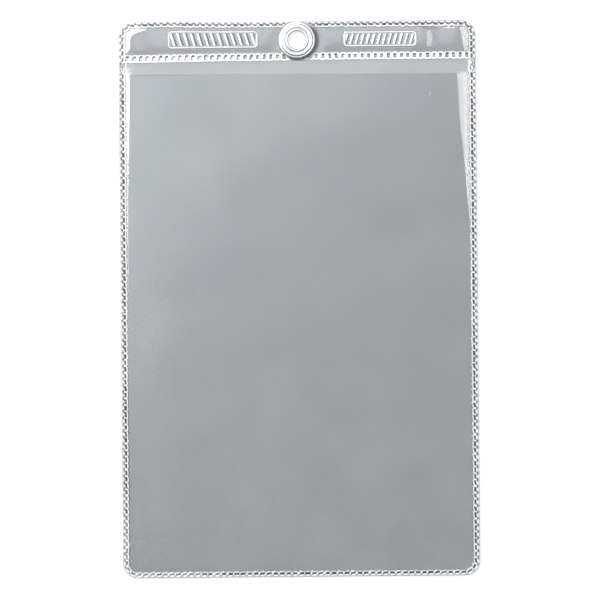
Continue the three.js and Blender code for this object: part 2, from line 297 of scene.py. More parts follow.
class Net:
    """Collects points and faces in millimetres, with a bead and a pit value at each point."""

    def __init__(self):
        self.xyz, self.bead, self.pit, self.faces = [], [], [], []
        self.count = 0

    def add(self, x, y, z, bead=None, pit=None):
        x = np.asarray(x, float)
        start = self.count
        parts = [x, np.broadcast_to(y, x.shape), np.broadcast_to(z, x.shape)]
        self.xyz.append(np.stack([p.ravel() for p in parts], axis=1))
        for store, value in ((self.bead, bead), (self.pit, pit)):
            flat = np.zeros(x.size) if value is None else np.broadcast_to(value, x.shape).ravel()
            store.append(np.array(flat, float))
        self.count += x.size
        return start + np.arange(x.size).reshape(x.shape)

    def quads(self, ids, flip=False):
        a, b, c, d = ids[:-1, :-1], ids[1:, :-1], ids[1:, 1:], ids[:-1, 1:]
        faces = np.stack([a, b, c, d], axis=-1).reshape(-1, 4)
        self.faces.extend((faces[:, ::-1] if flip else faces).tolist())

    def fill(self, loop, inner, surface, holes=(), down=False):
        """Triangulates the area inside loop round the inner points, with the holes left open.
        loop and each hole are numbers of points already there, and surface(x, y) gives z, bead and pit."""
        points = np.concatenate(self.xyz)
        rings = [np.asarray(loop)] + [np.asarray(h) for h in holes]
        known = np.concatenate(rings)
        flat = np.concatenate([points[known, :2], inner])
        edges, start = [], 0
        for ring in rings:
            edges += [(start + i, start + (i + 1) % len(ring)) for i in range(len(ring))]
            start += len(ring)
        verts, _, tris, origin, _, _ = delaunay_2d_cdt([Vector(p) for p in flat], edges, [], 0, 1e-6, True)
        z, bead, pit = surface(*inner.T)
        added = self.add(inner[:, 0], inner[:, 1], z, bead, pit)
        index = np.concatenate([known, added])
        ids = np.array([index[o[0]] for o in origin])
        xy = np.array([tuple(v) for v in verts])
        tris = np.array([t for t in tris if len(t) == 3])
        keep = within(xy[tris].mean(axis=1), points[rings[0], :2])
        for ring in rings[1:]:
            keep &= ~within(xy[tris].mean(axis=1), points[ring, :2])
        tris = tris[keep]
        a = xy[tris[:, 0]]
        b = xy[tris[:, 1]] - a
        c = xy[tris[:, 2]] - a
        faces_up = b[:, 0] * c[:, 1] - b[:, 1] * c[:, 0] > 0
        turn = faces_up == down
        tris[turn] = tris[turn][:, ::-1]
        self.faces.extend(ids[tris].tolist())

    def wall(self, upper, lower, inward=False):
        """Joins a closed loop of points to the loop under it. The loop runs anticlockwise seen from above."""
        for i in range(len(upper)):
            j = (i + 1) % len(upper)
            quad = [int(upper[i]), int(lower[i]), int(lower[j]), int(upper[j])]
            self.faces.append(quad[::-1] if inward else quad)

    def build(self, name):
        values = (("bead", self.bead), ("pit", self.pit))
        return smooth_piece(name, np.concatenate(self.xyz), self.faces, 60, values)


def settle(net, shift):
    """Moves every point of the net in y by shift(x, y): the soft film doesn't lie quite straight."""
    for block in net.xyz:
        block[:, 1] += shift(block[:, 0], block[:, 1])


def top_wave(x, y):
    """The top edge bows up a little near its left end."""
    return 0.36 * hump(x + 41, 12) * smooth(y, TOP - 7, TOP)


def seam_wave(x, y):
    """The header strip's lower edge: it hangs at the left end and rides up at the right."""
    low = fade(y, HEADER_EDGE, HEADER_EDGE + 7)
    return low * (0.19 * smooth(x, -15, 15) - 0.28 * fade(x, -54, -25)) + top_wave(x, y)


def mouth_skew(x, y):
    """The mouth isn't quite square: it is higher at the left."""
    return 0.0042 * (25 - x) * smooth(y, MOUTH - 25, MOUTH)


def within(points, polygon):
    """Which points lie inside a polygon."""
    x, y = points[:, 0], points[:, 1]
    inside = np.zeros(len(points), bool)
    ax, ay = polygon[:, 0], polygon[:, 1]
    bx, by = np.roll(ax, -1), np.roll(ay, -1)
    for i in range(len(polygon)):
        crosses = (ay[i] > y) != (by[i] > y)
        if crosses.any():
            cut = ax[i] + (y - ay[i]) * (bx[i] - ax[i]) / (by[i] - ay[i])
            inside ^= crosses & (x < cut)
    return inside


def lattice(x0, x1, y0, y1, step):
    nx, ny = max(2, round((x1 - x0) / step)), max(2, round((y1 - y0) / step))
    xs, ys = np.meshgrid(np.linspace(x0, x1, nx), np.linspace(y0, y1, ny))
    points = np.stack([xs.ravel(), ys.ravel()], axis=1)
    return points + rng.uniform(-0.02, 0.02, points.shape) * step


def thinning_rows(border, runs, rows, stop):
    """Points on lines further and further in from the edge, fewer on each."""
    found = []
    for across, stride in rows:
        x, y = border.point(runs[:: stride], across)
        good = (np.abs(edge_distance(x, y) - across) < 0.02) & (np.abs(y - stop) > 0.3)
        found.append(np.stack([x[good], y[good]], axis=1))
    return found


def waves(x, y, size, seed):
    """Gentle unevenness of soft film, about 1 high, from a few crossing ripples."""
    pick = np.random.default_rng(seed)
    total = np.zeros(np.shape(x))
    for _ in range(9):
        angle, scale = pick.uniform(0, np.pi), size * pick.uniform(0.6, 1.6)
        phase = pick.uniform(0, 2 * np.pi)
        total = total + np.sin(2 * np.pi * (x * np.cos(angle) + y * np.sin(angle)) / scale + phase)
    return total / 4.5


def from_grommet(x, y):
    """Distance from the grommet's axis."""
    return np.hypot(x, y - GROMMET_Y)


# Back film


def stroke(x, y, points, half):
    """1 on a polyline through points, fading to 0 at half its width."""
    best = np.full(np.shape(x), 9.0)
    for (ax, ay), (bx, by) in zip(points, points[1:]):
        t = np.clip(((x - ax) * (bx - ax) + (y - ay) * (by - ay)) / ((bx - ax) ** 2 + (by - ay) ** 2), 0, 1)
        best = np.minimum(best, np.hypot(x - ax - t * (bx - ax), y - ay - t * (by - ay)))
    return np.clip(1 - best / half, 0, 1)


# Lines of the smeared pattern at each end of the single film, drawn as points: distance in from the edge and
# height over the mouth. Each side, -1 the left, has its dark lines and its pale ones.

DARK_LEFT = [
    [(0.55, 3.7), (0.6, 2.6), (0.5, 1.4), (0.75, 0.4), (1.3, 0.2)],
    [(1.2, 3.8), (1.75, 3.2), (1.9, 2.6), (1.5, 2.3)],
    [(1.05, 3.3), (1.15, 2.2), (1.3, 1.1)],
]
DARK_RIGHT = [
    [(1.3, 3.8), (0.9, 3.0), (1.0, 2.2), (0.5, 1.0), (1.1, 0.2)],
    [(0.45, 3.8), (0.4, 1.6)],
    [(1.2, 2.4), (1.7, 1.5), (1.4, 0.7)],
]
PALE_LEFT = [[(2.35, 3.7), (2.2, 2.6), (2.45, 1.2), (2.3, 0.0)], [(0.9, 3.8), (0.95, 0.2)]]
PALE_RIGHT = [[(2.1, 3.8), (2.0, 2.2), (2.3, 1.0), (2.0, 0.0)], [(0.75, 3.6), (0.7, 0.4)]]
SMEARS = {-1: (DARK_LEFT, PALE_LEFT), 1: (DARK_RIGHT, PALE_RIGHT)}


def gap_smear(x, y):
    """Where the border's pattern smears out in the strip of single film: bead, pit."""
    gap = smooth(y, MOUTH - 0.5, MOUTH + 0.1) * fade(y, HEADER_EDGE - 0.1, HEADER_EDGE + 0.3)
    bead, pit = np.zeros((2, *np.shape(x)))
    u, v = RIGHT - np.abs(x), y - MOUTH
    for side, (dark, pale) in SMEARS.items():
        here = np.sign(x) == side
        for line in dark:
            pit = np.maximum(pit, 0.95 * stroke(u, v, line, 0.28) * here)
        for line in pale:
            bead = np.maximum(bead, 1.2 * stroke(u, v, line, 0.5) * here)
    milky = 0.9 * smooth(u, 0.15, 0.35) * fade(u, 1.5, 2.1)
    pit = np.maximum(pit, 0.35 * hump(u - 0.08, 0.14))
    bead = np.clip(np.maximum(bead, milky), 0, 1) * (1 - np.clip(pit * 1.3, 0, 1))
    return bead * gap, np.clip(pit, 0, 1) * gap


def back_surface(x, y):
    bead, pit = gap_smear(x, y)
    return WELD_FACE + 0.06 * bead - 0.04 * pit, bead, pit


def punched_hole():
    """Points round the hole that the grommet goes through."""
    angle = np.linspace(0, 2 * np.pi, 97)[:-1]
    return PUNCH_R * np.cos(angle), GROMMET_Y + PUNCH_R * np.sin(angle)


def outline_loop(step):
    """The envelope's outline, anticlockwise seen from above."""
    right, high, low = RIGHT - CORNER_R, TOP - CORNER_R, BOTTOM + CORNER_R
    points = []
    for cx, cy, start in ((right, high, 0), (-right, high, 90), (-right, low, 180), (right, low, 270)):
        for i in range(17):
            angle = math.radians(start + 90 * i / 16)
            points.append((cx + CORNER_R * math.cos(angle), cy + CORNER_R * math.sin(angle)))
    dense = []
    for (ax, ay), (bx, by) in zip(points, points[1:] + points[:1]):
        n = max(1, int(math.hypot(bx - ax, by - ay) / step))
        dense += [(ax + (bx - ax) * i / n, ay + (by - ay) * i / n) for i in range(n)]
    return np.array(dense)


# How far the back film's edge is rounded, and the width of the fine mesh at each end of the single film

EDGE_ROUND = 0.08
GAP_MESH = 2.6


def back_film():
    net = Net()
    loop = outline_loop(1.2)
    hole_x, hole_y = punched_hole()
    middle = (TOP + BOTTOM) / 2
    shrink = 1 - EDGE_ROUND / RIGHT
    edge = net.add(loop[:, 0], loop[:, 1], BACK_FACE + FILM / 2)
    rim_x, rim_y = loop[:, 0] * shrink, (loop[:, 1] - middle) * shrink + middle
    rim = net.add(rim_x, rim_y, WELD_FACE - 0.02)
    low = net.add(rim_x, rim_y, BACK_FACE)
    hole_top = net.add(hole_x, hole_y, np.full(hole_x.shape, WELD_FACE))
    hole_low = net.add(hole_x, hole_y, np.full(hole_x.shape, BACK_FACE))
    coarse = lattice(-RIGHT + 1.5, RIGHT - 1.5, BOTTOM + 1.5, TOP - 1.5, 4.0)
    # a fine mesh where the border's pattern smears out: at the left end, then at the right
    low_y, high_y = MOUTH - 0.8, HEADER_EDGE + 0.6
    left = lattice(-RIGHT + 0.25, -RIGHT + GAP_MESH, low_y, high_y, 0.13)
    right = lattice(RIGHT - 0.25 - GAP_MESH, RIGHT - 0.25, low_y, high_y, 0.13)
    fine = np.concatenate([left, right])
    fine = fine[edge_distance(*fine.T) > 0.12]
    near = np.abs(coarse[:, 1] - (MOUTH + HEADER_EDGE) / 2) < 3.4
    near &= np.abs(coarse[:, 0]) > RIGHT - GAP_MESH - 1
    clear = from_grommet(*coarse.T) > PUNCH_R + 0.5
    clear &= edge_distance(*coarse.T) > 0.8
    coarse = coarse[clear & ~near]
    net.fill(rim, np.concatenate([coarse, fine]), back_surface, holes=[hole_top])

    def underside(x, y):
        return np.full(x.shape, BACK_FACE), None, None

    net.fill(low, coarse, underside, holes=[hole_low], down=True)
    net.wall(rim, edge)
    net.wall(edge, low)
    net.wall(hole_top, hole_low, inward=True)
    settle(net, top_wave)
    return net


# Pocket film: the reach of its broad swell, its overlap with the weld, and the width of the steep right bend

SWELL_REACH = 16
WELD_OVER = 0.14
RIGHT_STEEP = 1.3


def facet(d, width, first, last):
    """Height of a bent flat: its slope runs from first at the weld to last at width, and is level after."""
    t = np.clip(d / width, 0, 1)
    return width * (first * t - (first - last) * t**2 / 2)


def swell(d):
    """The film's broad rise from a weld to the middle of the pocket."""
    return np.sin(np.pi / 2 * np.clip(d / SWELL_REACH, 0, 1))


def pocket_rise(x, y):
    """How far the front film stands off the weld face."""
    up = np.clip((y - BOTTOM) / (MOUTH - BOTTOM), 0, 1)
    left = np.maximum(x + RIGHT - SIDE_WELD + WELD_OVER, 0)
    right = np.maximum(RIGHT - SIDE_WELD - x + WELD_OVER, 0)
    foot = np.maximum(y - BOTTOM - BOTTOM_WELD, 0)
    broad = 0.12 + 0.2 * up
    depth = MOUTH - y
    lean = 0.25 + 0.75 * fade(depth, 62, 95)
    bend = 0.5 + 1.35 * np.clip(1 - depth / 90, 0, 1) ** 1.3 - 0.2 * fade(depth, 0, 14)
    by_weld = 0.31 - 0.085 * smooth(depth, 5, 45)
    inside = 0.24 - 0.09 * smooth(depth, 0, 40)
    rise_left = lean * facet(left, bend, by_weld, inside) + broad * swell(left)
    # the right side bends twice: steeply by the weld, and again on a flat that narrows down from the mouth
    flat = 0.1 + 4.1 * np.clip(1 - depth / 52, 0, 1) ** 1.08 + 0.4 * hump(depth - 17, 8)
    steep = np.minimum(RIGHT_STEEP, flat)
    tilt = 0.35 + 0.65 * fade(depth, 40, 60)
    shelf = facet(np.maximum(right - steep, 0), flat - steep + 0.01, 0.165, 0.115)
    rise_right = facet(right, steep, 0.246, 0.23) + shelf
    rise_right = tilt * rise_right + broad * swell(right)
    share = smooth(x, -40, 40)
    rise = rise_left * (1 - share) + rise_right * share
    rise = rise * (1 - np.exp(-foot / 1.3))
    rise = rise + 0.05 * waves(x, y, 38, 3) * smooth(np.minimum(np.minimum(left, right), foot), 1, 10)
    return np.maximum(rise, 0)


# Scuffs on the pocket: the two ends, half the width, and how pale

SCUFFS = [
    (42.2, 64.6, 42.6, 66.0, 0.17, 0.95),
    (43.6, 64.9, 43.9, 65.7, 0.14, 0.3),
    (-42.1, 63.9, -41.8, 64.5, 0.3, 0.3),
    (15.2, 67.7, 15.5, 68.1, 0.22, 0.35),
    (-49.3, 53.2, -48.9, 53.6, 0.25, 0.35),
    (-9.4, -68.8, -9.0, -68.4, 0.2, 0.4),
]


def scuffs(x, y):
    """A few short scuffs on the pocket, which catch the light."""
    pale = np.zeros(np.shape(x))
    for ax, ay, bx, by, half, strength in SCUFFS:
        pale = np.maximum(pale, strength * stroke(x, y, [(ax, ay), (bx, by)], half))
    return pale


def pocket_surface(x, y):
    z = FILM_TOP + pocket_rise(x, y)
    depth = MOUTH - y
    # the mouth's lip is painted with a pale highlight, and a line of painted shade lies just under it
    lip = fade(depth, 0.16, 0.4)
    shade = smooth(depth, 0.25, 0.45) * fade(depth, 0.7, 1.0)
    left = fade(x, -45, -25)
    pale = np.maximum(0.45 * lip * (1 - 0.6 * left), scuffs(x, y))
    return z - 0.05 * lip, pale, 0.36 * shade * (0.25 + 0.75 * left)


# How far the milky strip reaches over the stitch row, and how far in the dots between the stitches are

MILK_IN = 0.64
DOT_IN = 0.62


def weld_haze(border, stitch, along, across):
    """The pressed strip itself: milky all through, with a faint dash at the edge between stitches, and
    painted shade in the crease inside it.
    """
    between = np.abs(along / stitch.pitch - np.round(along / stitch.pitch)) * stitch.pitch
    scallop = border.row(along) + MILK_IN - 0.28 * hump(between, 0.35)
    inner = scallop + border.milk(along)
    milky = smooth(across, 0.1, 0.25) * fade(across, inner - 0.05, inner + 0.3)
    milky = milky * (0.95 - 0.11 * smooth(across, 1.0, 1.6))
    dot = np.exp(-(((across - DOT_IN) / 0.27) ** 2) - (between / border.dot_reach(along)) ** 2)
    dot = np.minimum(1.3 * dot, 1)
    edge = border.edge_line(along) * hump(across, 0.15)
    crease_shade = border.crease_shade(along) * hump(across - scallop - 0.3, 0.15)
    return milky, highest(border.dots(along) * dot, edge, crease_shade)


def edge_round(across):
    """How far the film's rounded edge lies under its face."""
    t = np.clip(across / 0.12, 0, 1)
    return 0.11 * (1 - np.sqrt(1 - (1 - t) ** 2))


# How far in the weld's mesh rows go

POCKET_ROWS = 2.6
HEADER_ROWS = 2.05


def border_rows(border, stitch, deep):
    """The mesh rows of the weld, which run along the border to the distance deep in from the edge."""
    runs = np.linspace(0, border.length, stitch.count * PER_CELL + 1)
    depths = np.concatenate([[0, 0.04, 0.1], np.arange(0.2, deep + 0.01, 0.12)])
    along, across = np.meshgrid(runs, depths, indexing="ij")
    return runs, depths, along, across


def pocket_film():
    net = Net()
    border = Border(MOUTH, -1)
    stitch = Stitches(border.length, 0.84, 0.39, 0.3, tilt=0.09)
    # the bar pressed less hard at the left, and least round the lower left corner; along the foot the rings
    # are thin
    middle = (np.arange(stitch.count) + 0.5) * stitch.pitch
    corner = border.leg + border.turn
    faint = smooth(middle, border.leg - 28, border.leg - 8) * fade(middle, corner + 12, corner + 35)
    stitch.white = 0.87 * stitch.white
    stitch.drop = stitch.drop * (1 - 0.42 * faint - 0.14 * fade(middle, 25, 55))
    from_end = np.minimum(middle, border.length - middle)
    stitch.reach = stitch.reach - 0.14 * smooth(from_end, border.leg, border.leg + 6)
    runs, depths, along, across = border_rows(border, stitch, POCKET_ROWS)
    x, y = border.point(along, across)
    height, bead, pit = stitch.at(along, across - border.row(along))
    z, lip_bead, lip_pit = pocket_surface(x, y)
    milky, dash = weld_haze(border, stitch, along, across)
    pit = np.clip(highest(pit, lip_pit, dash), 0, 1)
    bead = np.clip(highest(bead, milky * (1 - pit), lip_bead), 0, 1)
    top = net.add(x, y, z + height - edge_round(across), bead, pit)
    net.quads(top)
    x0, x1 = float(x[0, -1]), float(x[-1, -1])
    mouth_x = np.linspace(x0, x1, 221)[1:-1]
    mouth_y = np.full(mouth_x.shape, MOUTH)
    mouth = net.add(mouth_x, mouth_y, *pocket_surface(mouth_x, mouth_y))
    rows = [(depths[-1] + 0.14, 2), (3.0, 3), (3.35, 4), (3.8, 6), (4.4, 8), (5.2, 12), (6.3, 14)]
    inner = thinning_rows(border, runs, rows, MOUTH)
    inner.append(lattice(RIGHT - 6.6, RIGHT - 2.85, MOUTH - 58, MOUTH - 1.5, 0.3))
    inner += [lattice(min(ax, bx) - 0.5, max(ax, bx) + 0.5, ay - 0.5, by + 0.5, 0.13)
              for ax, ay, bx, by, _, _ in SCUFFS]
    centre = lattice(-RIGHT + 7.4, RIGHT - 7.4, BOTTOM + 7.4, MOUTH - 2.2, 1.9)
    lip = [np.stack([np.linspace(x0 + 0.5, x1 - 0.5, n), np.full(n, MOUTH - d)], axis=1)
           for d, n in ((0.13, 260), (0.27, 260), (0.42, 260), (0.6, 220), (0.85, 180), (1.3, 110))]
    inner = np.concatenate(inner + [centre] + lip)
    inner = inner[(edge_distance(*inner.T) > depths[-1] + 0.1) & (inner[:, 1] < MOUTH - 0.1)]
    net.fill(np.concatenate([top[:, -1], mouth[::-1]]), inner, pocket_surface)
    edge = np.concatenate([top[:, 0], top[-1, 1:], mouth[::-1], top[0, 1:][::-1]])
    points = np.concatenate(net.xyz)[edge]
    low = net.add(points[:, 0], points[:, 1], WELD_FACE + pocket_rise(points[:, 0], points[:, 1]))
    deep = inner[::2]

    def underside(px, py):
        return WELD_FACE + pocket_rise(px, py), None, None

    net.fill(low, deep, underside, down=True)
    net.wall(edge, low)
    settle(net, mouth_skew)
    return net


# Header film: its middle, the oval of its upper left corner, its soft fold's place and slope, and its height

HEADER_MID = (HEADER_EDGE + TOP) / 2
OVAL_WIDE = 8.5
OVAL_TALL = 4.0
FOLD = 41.0
FOLD_SLOPE = 0.174
PILLOW = 0.3


def oval_corner(across, down, wide, tall):
    """Roughly how far a point lies inside a corner that is rounded with a quarter of an oval, and how near it
    is to the corner. across and down are its distances from the two sides."""
    ex = np.clip(1 - across / wide, 0, None)
    ey = np.clip(1 - down / tall, 0, None)
    far = np.hypot(ex, ey)
    steep = np.hypot(ex / wide, ey / tall)
    near = 1.5 * ex * ey
    inside = np.where(far > 1e-6, (1 - far) * far / np.maximum(steep, 1e-9), tall)
    return np.minimum(inside + near, tall), near


def header_rise(x, y):
    """How far the header strip stands off the weld face: a pillow with rounded ends and one soft fold."""
    low, high = HEADER_EDGE + CROSS_WELD, TOP - TOP_WELD
    mid, half = (low + high) / 2, (high - low) / 2
    # the strip's upper left corner is an oval one, its upper right one is round, and the lower ones are tight
    d_left, corner = oval_corner(x + RIGHT - HEADER_SIDE + 0.1, high - y + 0.22, OVAL_WIDE, OVAL_TALL)
    d_right = -rounded_box(x, y - mid, RIGHT - HEADER_SIDE, half, 2.4)
    d_tight = -rounded_box(x, y - mid, RIGHT - HEADER_SIDE, half, 0.7)
    d = np.maximum(np.where(y > mid, np.where(x < 0, d_left, d_right), d_tight), 0)
    end = RIGHT - HEADER_SIDE - np.abs(x)
    arc_wide = 0.05 + 0.9 * fade(end, 1.0, 3.2) + 1.4 * fade(end, 5.0, 13.0)
    left_end = facet(d, arc_wide + corner, 0.29, 0.245)
    roof = np.clip(np.minimum(high - y, y - low), 0, None)
    side = facet(np.maximum(end, 0), np.clip(3.5 - 0.19 * (TOP - y), 1.35, 3.2), 0.25, 0.222)
    right_end = (np.maximum(side, 1e-6) ** -4 + (2.0 * roof + 1e-3) ** -4.0) ** -0.25
    near = fade(end, 3.5, 10)
    high_pillow = PILLOW * (1 + 0.1 * np.sin(x / 7.1 + 0.6))
    seat = from_grommet(x, y) - FLANGE_R - 0.4
    lift = (y - mid) / half
    bulge = 1 - lift**2
    fold = FOLD + 0.4 * bulge - 0.95 * smooth(lift, 0.4, 1)
    wide = 0.7 + 1.45 * bulge + 0.5 * smooth(lift, 0.3, 0.9)
    # the soft fold: the film slopes up to it over 13 mm, down over its width, and back over 8 mm
    step = FOLD_SLOPE * (2.15 - np.clip(x - fold, 0, wide)) * smooth(x, fold - 13, fold - 0.5)
    step = step * fade(x, fold + wide, fold + wide + 8)
    tight = np.where(y > mid, hump(x - fold - 1, 3), 0)
    pillow = high_pillow * (1 - np.exp(-((d / (1.5 - 0.9 * tight)) ** 1.4)))
    left_half = (pillow**6 + left_end**6 + 1e-12) ** (1 / 6)
    soft = np.where(x < 0, left_half, pillow + (right_end - pillow) * near)
    return (soft + step * smooth(roof, 0, 0.4)) * smooth(seat, 0, 4)


# The two grip panels: left, right, foot, top, distance between ribs, and how far the ribs lean

RIBS = [
    (-41.2, -12.6, HEADER_MID - 1.9, HEADER_MID + 3.3, 2.15, 0.3),
    (15.0, 38.2, HEADER_MID - 1.8, HEADER_MID + 2.9, 1.75, -0.3),
]


def ribs(x, y):
    """Two plain grip panels pressed in the header, each a frame with slanting ribs: height, bead and pit. The
    frame and ribs are painted white as highlights, with painted shade beside each rib and round the frame.
    """
    height, bead, pit = np.zeros((3, *np.shape(x)))
    for x0, x1, y0, y1, gap, lean in RIBS:
        d = rounded_box(x - (x0 + x1) / 2, y - (y0 + y1) / 2, (x1 - x0) / 2, (y1 - y0) / 2, 1.1)
        frame_line = hump(d + 0.16, 0.24)
        phase = 2 * np.pi * (x - x0 + lean * (y - y0)) / gap
        field = smooth(-d, 0.5, 0.75)
        line = smooth(np.cos(phase), 0.2, 0.8) * field
        dip = smooth(np.cos(phase - 1.9), 0.3, 0.9) * field
        rim = hump(d - 0.28, 0.16)
        height = height + 0.13 * np.maximum(frame_line, line) - 0.05 * np.maximum(dip, rim)
        bead = np.maximum(bead, np.maximum(frame_line, 0.95 * line))
        pit = np.maximum(pit, np.maximum(0.6 * dip * (1 - line), 0.34 * rim))
    return height, bead, pit


def off_washer(x, y):
    """0 under the washer, and 1 outside it."""
    return smooth(from_grommet(x, y), FLANGE_R - 0.1, FLANGE_R + 0.3)


def header_marks(x, y, ladder, start):
    """Height, bead and pit of everything that is pressed in the header."""
    deep = y - HEADER_EDGE
    reach = (deep < CROSS_WELD + 0.2) & (np.abs(x) < RIGHT - 1.55)
    rung_height, rung_bead, rung_pit = [mark * reach for mark in ladder.at(x - start, deep - LADDER_IN)]
    # the ladder's bars and the rails beside them are painted white as highlights
    thin = 0.16 * smooth(x, -35, -5)
    rail = smooth(deep, -0.02, 0.08) * fade(deep, 0.42 - thin, 0.62 - thin) * (1 - 2.2 * thin)
    rail = rail * (np.abs(x) < RIGHT - 1.2)
    between = (1 - rung_pit) * smooth(deep, 0.3, 0.5) * fade(deep, 2.1, 2.45) * reach
    rib_height, rib_bead, rib_pit = ribs(x, y)
    clear = off_washer(x, y)
    height = (rung_height + rib_height + 0.12 * rail) * clear
    bead = highest(rung_bead, between, rib_bead, rail) * clear
    pit = np.maximum(rung_pit, rib_pit) * clear
    # the crease dips the film a little, and the washer's shadow is painted dark on it, taking out the white
    crease_and_shadow = washer_crease_and_shadow(x, y)
    return height - 0.05 * crease_and_shadow, np.clip(bead * (1 - crease_and_shadow), 0, 1), np.clip(np.maximum(pit, crease_and_shadow), 0, 1)


def washer_crease_and_shadow(x, y):
    """The crease that the washer's rim pinches in the film, deepest at the lower right, with the washer's
    shadow
    painted on it: a dark line at the rim and a soft painted shadow spreading out to the right.
    """
    far = from_grommet(x, y) + 1e-9
    facing = (0.78 * x - 0.62 * (y - GROMMET_Y)) / far
    side = (0.96 * x - 0.28 * (y - GROMMET_Y)) / far
    out = far - FLANGE_R
    # painted shadow: a dark line at the rim, strongest at the lower right, and a wide soft one to the right
    sharp = hump(out - 0.22, 0.36 + 0.2 * smooth(facing, 0, 0.8))
    sharp = sharp * (0.25 + 1.2 * smooth(facing, -0.2, 0.7))
    wide = 0.86 * fade(out, 0.1, 2.5) * smooth(side, 0.3, 0.85)
    return np.clip(np.maximum(sharp, wide), 0, 1)


def header_film():
    net = Net()
    border = Border(HEADER_EDGE, 1)
    stitch = Stitches(border.length, 0.79, 0.38, 0.32, tilt=0.09)
    stitch.drop = stitch.drop * np.linspace(0.7, 0.95, stitch.count)
    stitch.white = 0.93 * stitch.white
    runs, depths, along, across = border_rows(border, stitch, HEADER_ROWS)
    deep = float(depths[-1])
    x0, x1 = -RIGHT + deep, RIGHT - deep
    spare = 0.2
    ladder = Stitches(x1 - x0 + 2 * spare, 0.56, 0.79, 0.4, corner=0.22, arched=0.8, slant=-0.3)
    start = x0 - spare
    x, y = border.point(along, across)
    height, rings, pits = stitch.at(along, across - border.row(along))
    mark_height, mark_bead, mark_pit = header_marks(x, y, ladder, start)
    clear = off_washer(x, y)
    milky, dash = weld_haze(border, stitch, along, across)
    z = FILM_TOP + header_rise(x, y) + height * clear + mark_height * (across > 1.2) - edge_round(across)
    pit = np.clip(np.maximum(np.maximum(pits, dash) * clear, mark_pit), 0, 1)
    # the washer's painted shadow takes the white out here
    bead = np.maximum(np.maximum(rings, milky * (1 - pit)) * clear, mark_bead) * (1 - washer_crease_and_shadow(x, y))
    top = net.add(x, y, z, np.clip(bead, 0, 1), pit)
    net.quads(top, flip=True)

    rows = int(np.searchsorted(runs, CROSS_WELD - 0.1))
    ladder_y = y[: rows + 1, -1]
    ladder_x = np.linspace(x0, x1, ladder.count * PER_CELL + 1)[1:-1]
    cross_x, cross_y = np.meshgrid(ladder_x, ladder_y, indexing="ij")

    def surface(px, py):
        height, bead, pit = header_marks(px, py, ladder, start)
        return FILM_TOP + header_rise(px, py) + height, bead, pit

    cross = net.add(cross_x, cross_y, *surface(cross_x, cross_y))
    cross = np.concatenate([top[None, : rows + 1, -1], cross, top[::-1][None, : rows + 1, -1]])
    net.quads(cross)

    hole_x, hole_y = punched_hole()
    hole_top = net.add(hole_x, hole_y, np.full(hole_x.shape, FILM_TOP))
    inner = [lattice(x0 + 0.35, x1 - 0.35, HEADER_EDGE + 3.0, TOP - deep - 0.35, 0.55)]
    panels = [(left - 0.5, right + 0.5, low - 0.5, high + 0.5) for left, right, low, high, _, _ in RIBS]
    for left, right, low, high in panels:
        x_off = inner[0][:, 0] - (left + right) / 2
        y_off = inner[0][:, 1] - (low + high) / 2
        inner[0] = inner[0][rounded_box(x_off, y_off, (right - left) / 2, (high - low) / 2, 0.5) > 0.1]
    # a fine mesh under the strip's two ends and the fold
    ends = ((x0 + 0.2, x0 + 10.4, 0.15), (FOLD - 2.1, FOLD + 4.5, 0.2), (x1 - 4.6, x1 - 0.2, 0.17))
    for x_low, x_high, step in ends:
        near = inner[0]
        inner[0] = near[(near[:, 0] < x_low - 0.1) | (near[:, 0] > x_high + 0.1)]
        inner.append(lattice(x_low, x_high, HEADER_EDGE + 2.7, TOP - deep - 0.2, step))
    inner += [lattice(*panel, 0.15) for panel in panels]
    turn = np.linspace(0, 2 * np.pi, 200, endpoint=False)
    near = inner[0]
    inner[0] = near[from_grommet(near[:, 0], near[:, 1]) > FLANGE_R + 1.8]
    inner += [np.stack([r * np.cos(turn), GROMMET_Y + r * np.sin(turn)], axis=1)
              for r in FLANGE_R + np.array([-0.3, -0.1, 0.05, 0.2, 0.35, 0.5, 0.7, 0.95, 1.25, 1.6])]
    inner = np.concatenate(inner)
    good = edge_distance(*inner.T) > deep + 0.12
    good &= from_grommet(*inner.T) > PUNCH_R + 0.3
    good &= inner[:, 1] > ladder_y[-1] + 0.1
    inner = inner[good]
    loop = np.concatenate([cross[:, -1], top[rows + 1 : len(runs) - 1 - rows, -1][::-1]])
    net.fill(loop, inner, surface, holes=[hole_top])
    # anticlockwise seen from above: up the right leg, over the top and down the left one, then along the edge
    edge = np.concatenate([top[::-1, 0], top[0, 1:], cross[1:-1, 0], top[-1, 1:][::-1]])
    points = np.concatenate(net.xyz)[edge]
    low = net.add(points[:, 0], points[:, 1], WELD_FACE + header_rise(points[:, 0], points[:, 1]))
    hole_low = net.add(hole_x, hole_y, np.full(hole_x.shape, WELD_FACE))
    under = lattice(x0, x1, HEADER_EDGE + 2, TOP - deep, 1.6)
    good = edge_distance(*under.T) > 0.8
    good &= from_grommet(*under.T) > PUNCH_R + 0.6
    under = under[good]

    def underside(px, py):
        return WELD_FACE + header_rise(px, py), None, None

    net.fill(low, under, underside, holes=[hole_low], down=True)
    net.wall(edge, low)
    net.wall(hole_top, hole_low, inward=True)
    settle(net, seam_wave)
    return net


# Grommet and washer: the metal and its bends, the barrel and its curl, and the washer's face

METAL = 0.3
BEND = 0.3
BARREL_R = 3.2
CURL_R = 0.4
CURL_IN = CURL_R - METAL
CURL_C = 3.3
CURL_SEAT = 1.8
LAND_END = 3.85
CROWN = 2.0
CROWN_START = 4.25
GROOVE = 0.8
BRIM = 0.42


def arc(r, z, radius, start, stop, steps=10):
    turn = np.radians(np.linspace(start, stop, steps + 1))
    return list(zip(r + radius * np.cos(turn), z + radius * np.sin(turn)))


